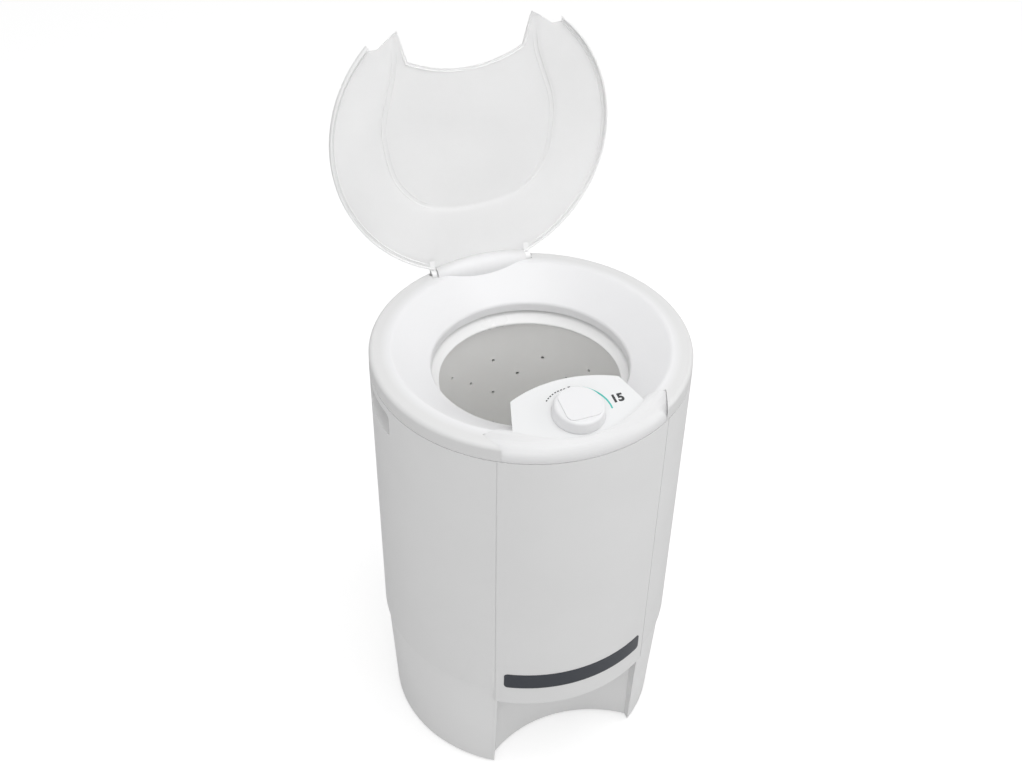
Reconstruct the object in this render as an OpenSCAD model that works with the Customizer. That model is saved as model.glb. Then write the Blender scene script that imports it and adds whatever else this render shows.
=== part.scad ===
// Laundry spin dryer: an upright plastic-bodied centrifuge with a hinged lid, shown open.
// Millimetres. +Z up, front towards -Y, origin on the floor under the middle of the basket.

/* [Body] */
// Diameter of the cabinet where it meets the top ring
body_d = 430; // [400:1:460]
// Height of the joint between cabinet and top ring
joint_z = 625; // [600:1:650]
// Radius that the cabinet loses between the top ring and its lower edge
body_taper = 3.5; // [1:0.5:6]
// Height of the cabinet's lower edge, outside the front band
step_z = 186; // [180:1:192]
// Radius that the base loses between the cabinet and the floor
base_taper = 12.5; // [9:0.5:20]
// Ledge that the cabinet stands proud of the base
base_ledge = 2.6; // [2.2:0.1:5]
// Wall of the cabinet and the base
wall = 3; // [2.5:0.1:4]
// Half the angle that the front band covers, in degrees
band_half = 33.3; // [28:0.1:38]

/* [Bowl recess] */
// Half width of the recess in the front foot
recess_half = 110; // [90:1:120]
// Furthest point of the recess from the front, as its distance before the axis
recess_back = 118; // [105:1:130]
// Radius of the recess wall in plan
recess_r = 181; // [160:1:220]
// Height of the recess ceiling
recess_z = 160; // [140:1:165]

/* [Hand grips] */
// Half width of each hand grip
grip_half = 40; // [34:1:46]
// Lower edge of each hand grip
grip_z = 579; // [570:1:590]
// Upper edge of each hand grip
grip_top = 614; // [605:1:615]
// Depth of each hand-grip cup from the cabinet's outside
grip_depth = 25; // [18:1:28]

/* [Top ring] */
// Radius of the mouth
mouth_r = 133; // [125:1:138]
// Distance from the cabinet's edge in to the crest, where the mouth starts to slope
crest_in = 27; // [23:1:31]
// Height of the crest
crest_z = 649; // [648:0.5:650]
// Radius of the ring's outer shoulder
shoulder_r = 6; // [4:0.5:7]

/* [Lid] */
// Angle that the lid stands open in the rest pose, in degrees
lid_open = 98; // [90:1:100]
// Distance that the lid's rim stands inside the cabinet's edge
lid_in = 16.5; // [15:0.5:23]
// Wall of the lid
lid_wall = 2.5; // [2:0.1:3]
// Height of the flat middle of the closed lid
lid_top_z = 665; // [662:0.5:668]
// Distance of the hinge axis inside the cabinet's edge
hinge_in = 23; // [21:0.5:25]
// Height of the hinge axis
hinge_z = 647; // [645:0.5:649]

/* [Control panel] */
// Tilt of the fascia, front edge down, in degrees
fascia_tilt = 9; // [6:0.5:12]
// Thickness of the fascia
fascia_t = 2.5; // [2:0.1:3]
// Radius of the timer knob at its foot
knob_r = 34; // [30:0.5:36]
// Height of the timer knob
knob_h = 18.5; // [15:0.5:22]

/* [Badge strip] */
// Width of the blank badge strip, seen from the front
badge_w = 208; // [120:1:212]
// Height of the badge strip
badge_h = 28; // [14:1:32]
// Height of the badge strip's middle
badge_z = 209; // [200:1:400]

/* [Basket] */
// Inside radius of the basket
basket_r = 140; // [130:1:144]
// Height of the basket floor
basket_z = 236; // [232:1:245]
// Inside radius of the basket ring
basket_mouth_r = 123; // [115:0.5:128]
// Height of the basket ring's top
basket_top = 599.5; // [590:0.5:600.5]
// Diameter of the drain holes in the basket
drain_hole_d = 5; // [3:0.5:7]
// Distance between drain holes in one column
hole_pitch = 60; // [45:1:80]

/* [Drive] */
// Diameter of the drive shaft
shaft_d = 16; // [12:0.5:18]
// Radius of the motor shell
motor_r = 62; // [55:1:66]

/* [Fits] */
// Radial clearance of the running fits
run_fit = 0.06; // [0.02:0.01:0.09]
// Gap between parts that pass each other
gap = 0.5; // [0.4:0.1:0.8]

/* [Hidden] */
$fn = 96;
body_r = body_d / 2;
body_low_r = body_r - body_taper;
base_r = body_low_r - base_taper;
body_slope = body_taper / (joint_z - step_z);
base_shelf_r = body_low_r - base_ledge;
base_slope = (base_shelf_r - base_r) / step_z;
foot_gap = 2;
deck_z = 30;
deck_t = 3.5;
deck_gap = 0.1;
ledge_h = 2.5;
foot_rad = base_r - 21;
foot_r = 12;
foot_h = 6;
foot_stud_r = 4;
badge_deep = 0.8;
badge_proud = 0.7;
neck_top = step_z + 14;
neck_r = body_low_r - wall - 0.2;
shelf_t = 3.5;
recess_cy = -recess_back - recess_r;
grip_wall = 2.5;

ring_wall = 3;
spigot_low = joint_z - 8;
reveal = 1;
lip_z = 603;
tub_clear = 25.3;
tub_r = basket_r + tub_clear;
flange_r = tub_r - 4.3;
flange_low = 588;
crest_r = body_r - crest_in;
hinge_y = body_r - hinge_in;
lid_r = body_r - lid_in;

pad_half = 66;
pad_r = 17;
pad_end_r = 9.5;
pad_arc_r = (pad_half * pad_half + pow(pad_r - pad_end_r, 2)) / (2 * (pad_r - pad_end_r));
ear_x = pad_half + 0.8;
ear_w = 7.4;
ear_r = 6.5;
cam_e = 3;
cam_lean = 10;
pin_r = 2.5;
pin_len = 20;

skirt_z = crest_z;
clear_z = 700;
lid_mid_y = -20;
lid_flat_r = lid_r - 74.5;
lid_rear_z = 654;
notch_clear = 4;

fascia_y = 55 - body_r;
fascia_z = 650;
fascia_front_r = 130.5;
fascia_front_c = 94;
fascia_back_r = 171;
fascia_back_c = -109;
fascia_low_half = 101;
fascia_high_half = 67.5;
knob_dy = 2;
house_wall = 2.5;
house_low = 628;
pocket_low = 614.5;
house_half = fascia_low_half + 9;
front_y = -body_r - 15;
notch_half = 80;
notch_low_half = 104;
pocket_half = 26;
pocket_back = fascia_y + 25;
pocket_front = fascia_y - 18;
collar_front_half = 92;
collar_side_half = 124;
collar_back_y = fascia_y + 8;
step_half = 135.5;
step_back_y = fascia_y + 22;
step_r = lid_r - 15;
timer_w = 44;
timer_d = 30;
timer_h = 24;
timer_shaft_r = 3;

tub_low_r = tub_r - 7.3;
tub_wall = 2.5;
tub_top = 606;
tub_floor = 216;
tub_skirt_r = tub_low_r - 6;
tub_neck_r = 30;
drain_y = 11 - tub_low_r;
drain_r = 13;
spout_low = recess_z - 30;
spout_seat = step_z - 26;
spout_top = step_z - 10;
tub_screw_at = [45:90:315];
tub_screw_rad = tub_skirt_r + 9;

basket_wall = 3;
basket_cols = 24;
hole_drop = 86.5;
hub_r = 36;
hub_top = basket_z + 9;
hub_low = basket_z - 12;
shaft_r = shaft_d / 2;

motor_low = 60;
motor_top = 166;
stator_in = 36;
plate_t = 3.5;
mount_r = 95;
mount_at = [90, 210, 330];
mount_pad_h = 8;
bolt_at = [45:90:315];
bolt_rad = motor_r - 6;
bearing_r = 19;
core_low = 95;
core_h = 60;
disc_z = 182;
disc_r = 56;
disc_t = 4;

rod_y = hinge_y - 6;
rod_x = ear_x + ear_w / 2;
rod_rad = sqrt(rod_x * rod_x + rod_y * rod_y);
rod_turn = atan2(rod_y, rod_x);
rod_r = 2.5;
rod_top = hinge_z - 9.7;
rod_head_r = 4;
lever_top = 177;
lever_t = 5;
pivot_rad = 150;
foot_at = [48, 132, 212, 328];
gland_z = 46;
gland_r = 9;
gland_flange_r = 12;
cap_x = -112;
cap_y = 62;
cap_r = 17.5;
screw_at = [52, 128];
screw_z = step_z + 7;

function body_at(z) = body_low_r + (z - step_z) * body_slope;
function base_at(z) = base_r + z * base_slope;
// underside of the sloping mouth at radius r
function funnel_low(r) = lip_z + 12.6 + (r - mouth_r - 7) * (crest_z - 4.6 - lip_z - 12.6) / (crest_r - 4 - mouth_r - 7);
// points of an arc about (cx, cy)
function arc(cx, cy, r, a0, a1, n) =
  [for (i = [0:n]) let (a = a0 + (a1 - a0) * i / n) [cx + r * cos(a), cy + r * sin(a)]];

// ---- helpers ----

// ring or disc of a (radius, height) outline about the vertical axis
module spin(points) {
  rotate_extrude() polygon(points);
}

module tube(r_out, r_in, h) {
  difference() {
    cylinder(r = r_out, h = h);
    translate([0, 0, -1]) cylinder(r = r_in, h = h + 2);
  }
}

// places children in the tilted plane of the fascia, with z = 0 on its face
module on_fascia() {
  translate([0, fascia_y, fascia_z]) rotate([fascia_tilt, 0, 0]) children();
}

// plan outline of the fascia, drawn in by m on every side
module fascia_outline(m) {
  intersection() {
    translate([0, fascia_front_c]) circle(r = fascia_front_r - m);
    translate([0, fascia_back_c]) circle(r = fascia_back_r - m);
    polygon([[-fascia_low_half + m, -40], [fascia_low_half - m, -40], [fascia_high_half - m, 66], [-fascia_high_half + m, 66]]);
  }
}

// barrel of revolution about the hinge axis, grown by m
module hinge_barrel(m, half) {
  translate([0, hinge_y, hinge_z]) rotate([0, 90, 0]) rotate_extrude()
    polygon(concat([[0, -half]],
      [for (i = [-6:6]) let (x = half * i / 6) [m + pad_r - pad_arc_r + sqrt(pad_arc_r * pad_arc_r - x * x), x]],
      [[0, half]]));
}

// mirrored pair on the left and right
module both() {
  children();
  mirror([1, 0, 0]) children();
}

// plan zone of the control housing, moved inwards by m at its ends
module collar_zone(m) {
  linear_extrude(height = clear_z)
    polygon([[-collar_front_half + m, -body_r - 17], [collar_front_half - m, -body_r - 17],
      [collar_side_half - m, collar_back_y - m], [-collar_side_half + m, collar_back_y - m]]);
}

// places children at the interlock rod, x pointing outwards
module at_rod() {
  rotate([0, 0, rod_turn]) children();
}

// ---- body ----

module cabinet() {
  color([0.80, 0.80, 0.80]) difference() {
    union() {
      spin([[body_at(recess_z), recess_z], [body_r, joint_z], [body_r - wall, joint_z], [body_at(recess_z) - wall, recess_z]]);
      both() grip_cup();
    }
    rotate([0, 0, 270 + band_half]) rotate_extrude(angle = 360 - 2 * band_half)
      translate([body_low_r - 20, recess_z - 5]) square([40, step_z - recess_z + 5]);
    both() grip_void();
    both() band_groove();
    badge_seat();
    for (a = screw_at) rotate([0, 0, a]) translate([body_at(screw_z) + 2, 0, screw_z]) rotate([0, -90, 0]) {
      cylinder(r = 2, h = 12);
      cylinder(r = 4, h = 3.4);
    }
  }
}

module grip_cup() {
  intersection() {
    translate([body_r - grip_depth, 0, (grip_z + grip_top) / 2]) rotate([0, 90, 0])
      rounded_block(grip_top - grip_z + 2 * grip_wall, 2 * grip_half + 2 * grip_wall, grip_depth, 9);
    cylinder(r = body_at(grip_z) - 0.5, h = clear_z);
  }
}

module grip_void() {
  translate([body_r - grip_depth + grip_wall, 0, (grip_z + grip_top) / 2]) rotate([0, 90, 0])
    rounded_block(grip_top - grip_z, 2 * grip_half, grip_depth + 9, 6.5);
}

// block centred on its x and y, with its four upright edges rounded
module rounded_block(x, y, h, r) {
  translate([-x / 2 + r, -y / 2, 0]) cube([x - 2 * r, y, h]);
  translate([-x / 2, -y / 2 + r, 0]) cube([x, y - 2 * r, h]);
  for (i = [-1, 1], j = [-1, 1]) translate([i * (x / 2 - r), j * (y / 2 - r), 0]) cylinder(r = r, h = h);
}

module band_groove() {
  low = recess_z - 6;
  high = joint_z + 5;
  rotate([0, 0, 270 + band_half - 0.7]) rotate_extrude(angle = 0.35)
    polygon([[body_at(low) - 0.9, low], [body_at(high) - 0.9, high], [body_at(high) + 2, high], [body_at(low) + 2, low]]);
}

// outline of the badge strip as a plate seen from the front, pushed along y
module badge_plate(m) {
  translate([0, 60 - body_r, badge_z]) rotate([90, 0, 0]) rounded_block(badge_w - 2 * m, badge_h - 2 * m, 80, 5 - m);
}

// layer that follows the cabinet's outside over the badge strip, between two depths
module badge_layer(inner, outer) {
  low = badge_z - badge_h;
  high = badge_z + badge_h;
  spin([[body_at(low) + inner, low], [body_at(high) + inner, high], [body_at(high) + outer, high], [body_at(low) + outer, low]]);
}

module badge_seat() {
  intersection() {
    badge_plate(0);
    badge_layer(-badge_deep, 15);
  }
}

module badge_strip() {
  color([0.27, 0.29, 0.31]) intersection() {
    badge_plate(0.1);
    badge_layer(-badge_deep, badge_proud);
  }
}

// plan of the bowl recess, grown by m
module recess_plan(m) {
  intersection() {
    translate([0, recess_cy]) circle(r = recess_r + m);
    translate([-recess_half - m, -260]) square([2 * recess_half + 2 * m, 200]);
  }
}

// outer wall of the base, cut away at the bowl recess
module base_moulding() {
  color([0.83, 0.83, 0.83]) difference() {
    rotate([0, 0, 270]) spin([[base_at(foot_gap), foot_gap], [base_at(step_z - ledge_h), step_z - ledge_h],
      [base_at(step_z - ledge_h) - wall, step_z - ledge_h], [base_at(foot_gap) - wall, foot_gap]]);
    translate([0, 0, -1]) linear_extrude(height = recess_z + wall + 2) recess_plan(wall + deck_gap);
    apron_cut();
    at_gland() translate([0, 0, -20]) cylinder(r = gland_r + 0.1, h = 30);
  }
}

// ring on top of the base that carries the cabinet and the tub, with its upright neck
module base_shelf() {
  low = step_z - ledge_h + deck_gap;
  color([0.83, 0.83, 0.83]) difference() {
    spin([[neck_r - wall, low], [body_low_r - 1.2, low], [body_low_r - 1.2, step_z], [neck_r, step_z], [neck_r, neck_top],
          [neck_r - wall, neck_top], [neck_r - wall, step_z + shelf_t], [tub_skirt_r - 4, step_z + shelf_t],
          [tub_skirt_r - 4, step_z], [neck_r - wall, step_z]]);
    shelf_cut();
    translate([0, drain_y, step_z - 1]) cylinder(r = drain_r + 2, h = shelf_t + 2);
    at_rod() translate([rod_rad, 0, step_z - 1]) cylinder(r = rod_r + gap, h = shelf_t + 2);
    for (a = tub_screw_at) rotate([0, 0, a]) translate([tub_screw_rad, 0, step_z - 1]) cylinder(r = 2, h = shelf_t + 2);
    for (a = screw_at) rotate([0, 0, a]) translate([neck_r - 13, 0, screw_z]) rotate([0, 90, 0]) cylinder(r = 2, h = 20);
  }
}

// floor of the base, with the seats of the feet and of the motor's rubber mounts
module base_deck() {
  color([0.83, 0.83, 0.83]) difference() {
    union() {
      spin([[0, deck_z], [base_at(deck_z) - wall - deck_gap, deck_z],
            [base_at(deck_z + deck_t) - wall - deck_gap, deck_z + deck_t], [0, deck_z + deck_t]]);
      at_feet() translate([0, 0, foot_h]) cylinder(r = foot_r + 1, h = deck_z - foot_h + 1);
      at_mounts() translate([0, 0, deck_z]) cylinder(r = 16, h = mount_pad_h);
    }
    translate([0, 0, -1]) linear_extrude(height = recess_z) recess_plan(wall + deck_gap);
    at_feet() cylinder(r = foot_stud_r, h = foot_h + 12);
    at_mounts() translate([0, 0, deck_z - 1]) cylinder(r = 3, h = 12);
  }
}

// upright wall behind the bowl recess
module recess_wall() {
  color([0.83, 0.83, 0.83]) difference() {
    intersection() {
      translate([0, 0, foot_gap]) linear_extrude(height = recess_z - foot_gap - deck_gap) recess_plan(wall);
      spin([[0, 0], [base_at(0), 0], [base_at(recess_z), recess_z], [0, recess_z]]);
    }
    translate([0, 0, -1]) linear_extrude(height = recess_z + 2) recess_plan(0);
  }
}

// flat top of the bowl recess, inside the cabinet's apron
module recess_ceiling() {
  color([0.83, 0.83, 0.83]) difference() {
    intersection() {
      translate([0, 0, recess_z]) linear_extrude(height = wall) recess_plan(wall);
      cylinder(r = body_at(recess_z) - wall - 0.1, h = step_z);
    }
    translate([0, drain_y, recess_z - 1]) cylinder(r = drain_r + 2, h = wall + 2);
  }
}

// places children at each foot
module at_feet() {
  for (a = foot_at) rotate([0, 0, a]) translate([foot_rad, 0, 0]) children();
}

// places children at each rubber mount of the motor
module at_mounts() {
  for (a = mount_at) rotate([0, 0, a]) translate([mount_r, 0, 0]) children();
}

// places children at the cord gland, z pointing out of the base wall
module at_gland() {
  translate([0, base_at(gland_z), gland_z]) rotate([-90 - atan(base_slope), 0, 0]) children();
}

// takes away the base wall behind the cabinet's apron, above the recess ceiling
module apron_cut() {
  rotate([0, 0, 270 - band_half - 0.1]) rotate_extrude(angle = 2 * band_half + 0.2)
    translate([base_r - 30, recess_z + wall + deck_gap]) square([60, step_z]);
}

// trims the shelf where the cabinet's apron comes down in front of the base
module shelf_cut() {
  rotate([0, 0, 270 - band_half - 0.1]) rotate_extrude(angle = 2 * band_half + 0.2)
    translate([neck_r - 0.1, step_z - 2 * ledge_h]) square([30, neck_top]);
}

module rubber_feet() {
  color([0.2, 0.2, 0.2]) at_feet() {
    cylinder(r = foot_r, h = foot_h);
    cylinder(r = foot_stud_r, h = foot_h + 10);
  }
}

module base_screws() {
  color([0.7, 0.7, 0.72]) for (a = screw_at) rotate([0, 0, a]) translate([body_at(screw_z) - 0.2, 0, screw_z]) rotate([0, -90, 0]) {
    cylinder(r = 2, h = 9);
    cylinder(r = 4, h = 1.2);
  }
}

module cord_gland() {
  color([0.25, 0.25, 0.25]) at_gland() difference() {
    union() {
      translate([0, 0, -wall - 5.5]) cylinder(r = gland_r, h = wall + 9.5);
      translate([0, 0, deck_gap]) cylinder(r = gland_flange_r, h = 4);
      translate([0, 0, -wall - 5.5]) cylinder(r = gland_flange_r, h = 5);
    }
    translate([0, 0, -wall - 7]) cylinder(r = 3.6, h = 30);
  }
}

// ---- top ring and control panel ----

module top_ring() {
  color([0.93, 0.93, 0.95]) difference() {
    union() {
      spin(concat(
        [[body_r - ring_wall - 0.4, spigot_low], [body_r - 2 * ring_wall - 0.4, spigot_low],
         [body_r - 2 * ring_wall - 0.4, crest_z - 8], [body_r - 9.5, crest_z - 4.6], [crest_r, crest_z - ring_wall - 0.2],
         [crest_r - 4, funnel_low(crest_r - 4)], [mouth_r + 7, funnel_low(mouth_r + 7)], [mouth_r + 2.8, lip_z + 8],
         [mouth_r + 2.4, lip_z], [mouth_r - 0.4, lip_z]],
        arc(mouth_r + 6, lip_z + 9, 6, 180, 124, 4),
        arc(crest_r, crest_z - 9, 9, 123, 84, 4),
        arc(body_r - shoulder_r - 0.4, crest_z - 1 - shoulder_r, shoulder_r, 86, 4, 6),
        [[body_r - 0.4, joint_z + reveal], [body_r - 2, joint_z + reveal], [body_r - 2, joint_z], [body_r - ring_wall - 0.4, joint_z]]));
      translate([0, 0, flange_low]) tube(flange_r + ring_wall, flange_r, funnel_low(flange_r + ring_wall) + 1.5 - flange_low);
      hinge_barrel(0, pad_half);
      both() hinge_boss();
    }
    hinge_barrel(-ring_wall, pad_half - 20);
    both() hinge_slot();
    collar_cut();
    for (i = [-1, 1]) translate([i * (body_r - 10), 0, joint_z - 25]) cube([40, 2 * grip_half + 14, 49], center = true);
  }
}

// solid block under each end of the barrel, with the rod's guide bore below the ear
module hinge_boss() {
  intersection() {
    translate([pad_half - 20, hinge_y - 24, hinge_z - 18]) cube([40, 50, 18]);
    spin([[crest_r - 38, joint_z - 5], [body_r - 1, joint_z - 5], [body_r - 1.5, crest_z - 9], [body_r - 8, crest_z - 2.6],
          [crest_r, crest_z - 1], [crest_r - 20, joint_z + 11], [crest_r - 38, joint_z + 11]]);
  }
}

// slot that the ear and its cam swing in, the pin bore and the rod bore
module hinge_slot() {
  translate([ear_x - gap, hinge_y, hinge_z]) rotate([0, 90, 0]) cylinder(r = ear_r + cam_e + gap, h = ear_w + 2 * gap);
  translate([ear_x - gap, hinge_y - 10, hinge_z - 1]) cube([ear_w + 2 * gap, 26, 20]);
  translate([ear_x - gap, hinge_y, hinge_z - 10]) cube([ear_w + 2 * gap, 26, 30]);
  translate([ear_x - pin_len + ear_w - 1, hinge_y, hinge_z]) rotate([0, 90, 0]) cylinder(r = pin_r + run_fit, h = pin_len + 4);
  translate([rod_x, rod_y, joint_z - 25]) cylinder(r = rod_head_r + gap, h = hinge_z - joint_z + 25);
}

// room for the control housing in the ring
module collar_cut() {
  intersection() {
    collar_zone(-gap);
    difference() {
      translate([0, 0, joint_z + 0.4]) cylinder(r = body_r + 15, h = 60);
      cylinder(r = body_r - 37, h = clear_z);
    }
  }
  intersection() {
    on_fascia() translate([0, 0, -60]) linear_extrude(height = 90) fascia_outline(3 - gap);
    front_block(house_low - gap, 60);
  }
  translate([-pocket_half - gap, pocket_front - gap, pocket_low - gap])
    cube([2 * pocket_half + 2 * gap, pocket_back - pocket_front + 1 + gap, 40]);
}

// block over the front of the ring, from height z up
module front_block(z, h) {
  translate([-house_half, front_y, z]) cube([2 * house_half, 200, h]);
}

module control_housing() {
  color([0.94, 0.94, 0.95]) difference() {
    union() {
      intersection() {
        collar_zone(0);
        spin(concat(
          [for (p = [[38.5, crest_z - 5.4], [31, crest_z - 1.6], [25, crest_z - 1.8], [17, crest_z - 7.4], [11, joint_z + 13.8],
                     [7, joint_z + 10.2], [4.4, joint_z + 5.9], [3.6, joint_z + reveal], [0.4, joint_z + reveal]])
            [body_r - p[0], p[1]]],
          arc(body_r - 20, joint_z + 2, 19.6, 8, 62, 6),
          [for (p = [[18, crest_z - 2.6], [23.5, crest_z + 1.6], [28, crest_z + 2.6], [32, crest_z + 1.6], [37.4, crest_z - 2.1]])
            [body_r - p[0], p[1]]]));
      }
      intersection() {
        union() {
          difference() {
            house_prism(3, house_low);
            house_prism(3 + house_wall, house_low - 1);
          }
          on_fascia() translate([0, 0, -fascia_t - house_wall]) linear_extrude(height = house_wall) fascia_outline(3);
          intersection() {
            house_prism(3, house_low);
            front_block(house_low, house_wall);
          }
        }
        spin([[0, 600], [body_r - 7, 600], [body_r - 7, joint_z + 12], [body_r - 18, crest_z - 6], [body_r - 25, clear_z], [0, clear_z]]);
      }
      translate([-pocket_half, pocket_front, pocket_low]) cube([2 * pocket_half, pocket_back - pocket_front, 16]);
    }
    on_fascia() translate([0, 0, -fascia_t]) linear_extrude(height = 40) fascia_outline(-0.2);
    translate([-pocket_half + 2, pocket_front + 2, pocket_low + 2]) cube([2 * pocket_half - 4, pocket_back - pocket_front - 4, 20]);
    on_fascia() translate([0, knob_dy, -20]) cylinder(r = 8, h = 40);
    for (i = [-1, 1]) on_fascia() translate([i * 16, knob_dy + 9, -20]) cylinder(r = 1.5, h = 40);
  }
}

// block below the fascia down to height z, drawn in by m from its outline
module house_prism(m, z) {
  intersection() {
    on_fascia() translate([0, 0, -60]) linear_extrude(height = 60 - fascia_t) fascia_outline(m);
    front_block(z, 60);
  }
}

module fascia() {
  color([0.98, 0.99, 0.98]) on_fascia() difference() {
    translate([0, 0, -fascia_t]) linear_extrude(height = fascia_t) fascia_outline(0);
    translate([0, knob_dy, -fascia_t - 1]) cylinder(r = 5, h = fascia_t + 2);
  }
}

module timer_body() {
  color([0.9, 0.88, 0.8]) on_fascia() translate([0, knob_dy, -fascia_t - house_wall]) difference() {
    union() {
      translate([-timer_w / 2, -timer_d / 2 - 1, -timer_h]) cube([timer_w, timer_d, timer_h]);
      cylinder(r = 7, h = house_wall);
    }
    translate([0, 0, -timer_h + 4]) cylinder(r = timer_shaft_r + run_fit, h = timer_h);
    for (i = [-1, 1]) translate([i * 16, 9, -8]) cylinder(r = 1.5, h = 9);
  }
}

module timer_screws() {
  color([0.7, 0.7, 0.72]) on_fascia() translate([0, knob_dy, -fascia_t - house_wall])
    for (i = [-1, 1]) translate([i * 16, 9, -8]) cylinder(r = 1.5, h = 8 + house_wall);
}

module timer_shaft() {
  color([0.75, 0.75, 0.76]) on_fascia() translate([0, knob_dy, -fascia_t - house_wall - timer_h + 4.5])
    cylinder(r = timer_shaft_r, h = timer_h + fascia_t + house_wall + 7.5);
}

module timer_knob() {
  color([0.90, 0.90, 0.92]) on_fascia() translate([0, knob_dy, 0]) difference() {
    union() {
      spin(concat([[0, 0.6], [knob_r, 0.6], [knob_r, 3]],
        [[knob_r - 1.6, knob_h - 5]],
        arc(knob_r - 5.6, knob_h - 5.4, 4, 8, 80, 4),
        [[0, knob_h - 1.3]]));
      translate([0, 0, knob_h - 2]) rounded_block(46, 46, 2, 9);
    }
    difference() {
      translate([0, 0, -1]) cylinder(r = knob_r - 4.5, h = knob_h - 3.5);
      cylinder(r = 7, h = knob_h);
    }
    translate([0, 0, -1]) cylinder(r = timer_shaft_r, h = 13);
  }
}

// ---- lid ----

// dome about the lid's middle, with its top surface lowered by d
module dome(d) {
  translate([0, lid_mid_y, 0]) spin([[0, skirt_z - 9], [lid_r + 20, skirt_z - 9], [lid_r + 20, lid_rear_z - d], [lid_flat_r + 8, lid_top_z - 0.8 - d],
    [lid_flat_r, lid_top_z - d], [0, lid_top_z - d]]);
}

module closed_lid() {
  difference() {
    union() {
      difference() {
        intersection() {
          dome(0);
          translate([0, 0, skirt_z]) cylinder(r = lid_r, h = 40);
        }
        intersection() {
          dome(lid_wall);
          cylinder(r = lid_r - lid_wall, h = clear_z);
        }
      }
      both() ear();
    }
    lid_notch();
    hinge_barrel(0.8, pad_half + 0.8);
    translate([-ear_x, hinge_y - 8, skirt_z - 9]) cube([2 * ear_x, 30, 30]);
    both() translate([ear_x - 1, hinge_y, hinge_z]) rotate([0, 90, 0]) cylinder(r = pin_r, h = ear_w + 3);
  }
}

// hinge ear with its cam lobe, in the closed pose
module ear() {
  translate([ear_x, hinge_y, hinge_z]) {
    rotate([0, 90, 0]) cylinder(r = ear_r, h = ear_w);
    translate([0, cam_e * sin(lid_open - cam_lean), -cam_e * cos(lid_open - cam_lean)]) rotate([0, 90, 0]) cylinder(r = ear_r, h = ear_w);
    translate([0, -22, 2.6]) cube([ear_w, 22, 4]);
  }
}

// front cut-out of the closed lid, round the fascia and the control housing
module lid_notch() {
  translate([0, 0, skirt_z - 19]) linear_extrude(height = 60) {
    intersection() {
      translate([0, fascia_y + fascia_back_c]) circle(r = fascia_back_r + notch_clear);
      polygon([[-notch_half, fascia_y + 100], [notch_half, fascia_y + 100], [notch_half, fascia_y + 48],
        [notch_low_half, fascia_y - 36], [notch_low_half, front_y], [-notch_low_half, front_y],
        [-notch_low_half, fascia_y - 36], [-notch_half, fascia_y + 48]]);
    }
    difference() {
      translate([-step_half, front_y]) square([2 * step_half, step_back_y - front_y]);
      circle(r = step_r);
    }
  }
}

module lid() {
  color([0.92, 0.93, 0.94, 0.6]) translate([0, hinge_y, hinge_z]) rotate([-lid_open, 0, 0])
    translate([0, -hinge_y, -hinge_z]) closed_lid();
}

module lid_hinge_pins() {
  color([0.75, 0.75, 0.76]) both() translate([ear_x + ear_w - pin_len, hinge_y, hinge_z]) rotate([0, 90, 0])
    cylinder(r = pin_r, h = pin_len);
}

// ---- tub and drain ----

module tub() {
  color([0.85, 0.86, 0.87]) difference() {
    union() {
      spin([[tub_r, tub_top], [tub_r + tub_wall, tub_top], [tub_low_r + tub_wall, tub_floor - 1], [tub_low_r, tub_floor - 4],
            [tub_skirt_r + tub_wall, tub_floor - 4], [tub_skirt_r + tub_wall, step_z + shelf_t + 3], [tub_skirt_r + 15, step_z + shelf_t + 3],
            [tub_skirt_r + 15, step_z + shelf_t], [tub_skirt_r, step_z + shelf_t], [tub_skirt_r, tub_floor - 4.4],
            [40, tub_floor - 7.5], [tub_neck_r, tub_floor - 7.5], [tub_neck_r, tub_floor + 5], [tub_neck_r + tub_wall, tub_floor + 5],
            [tub_neck_r + tub_wall, tub_floor - 5], [40, tub_floor - 5], [tub_skirt_r, tub_floor - 1.5], [tub_low_r - 2, tub_floor - 1.5],
            [tub_low_r, tub_floor]]);
      translate([0, drain_y, spout_seat]) cylinder(r = drain_r, h = tub_floor - 4 - spout_seat);
    }
    translate([0, drain_y, spout_seat - 1]) cylinder(r = drain_r - 2, h = tub_floor + 10 - spout_seat);
    for (a = tub_screw_at) rotate([0, 0, a]) translate([tub_screw_rad, 0, step_z]) cylinder(r = 2, h = 12);
  }
}

module tub_gasket() {
  color([0.3, 0.3, 0.32]) translate([0, 0, tub_top - 6]) tube(tub_r - 0.15, flange_r + ring_wall + 0.05, 6);
}

module tub_screws() {
  color([0.7, 0.7, 0.72]) for (a = tub_screw_at) rotate([0, 0, a]) translate([tub_screw_rad, 0, step_z - 4]) {
    cylinder(r = 2, h = shelf_t + 7);
    translate([0, 0, shelf_t + 7]) cylinder(r = 4, h = 2);
  }
}

module shaft_seal() {
  color([0.2, 0.2, 0.2]) translate([0, 0, tub_floor - 4]) tube(tub_neck_r, shaft_r + 0.4, 4);
}

module drain_spout() {
  color([0.83, 0.83, 0.83]) translate([0, drain_y, 0]) difference() {
    union() {
      translate([0, 0, spout_low]) cylinder(r = drain_r + 2, h = spout_top - spout_low);
      translate([0, 0, recess_z + wall]) cylinder(r = drain_r + 8, h = 2.5);
    }
    translate([0, 0, spout_low - 1]) cylinder(r = drain_r - 1, h = spout_top - spout_low);
    translate([0, 0, spout_seat]) cylinder(r = drain_r, h = 20);
  }
}

// ---- basket and drive ----

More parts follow.
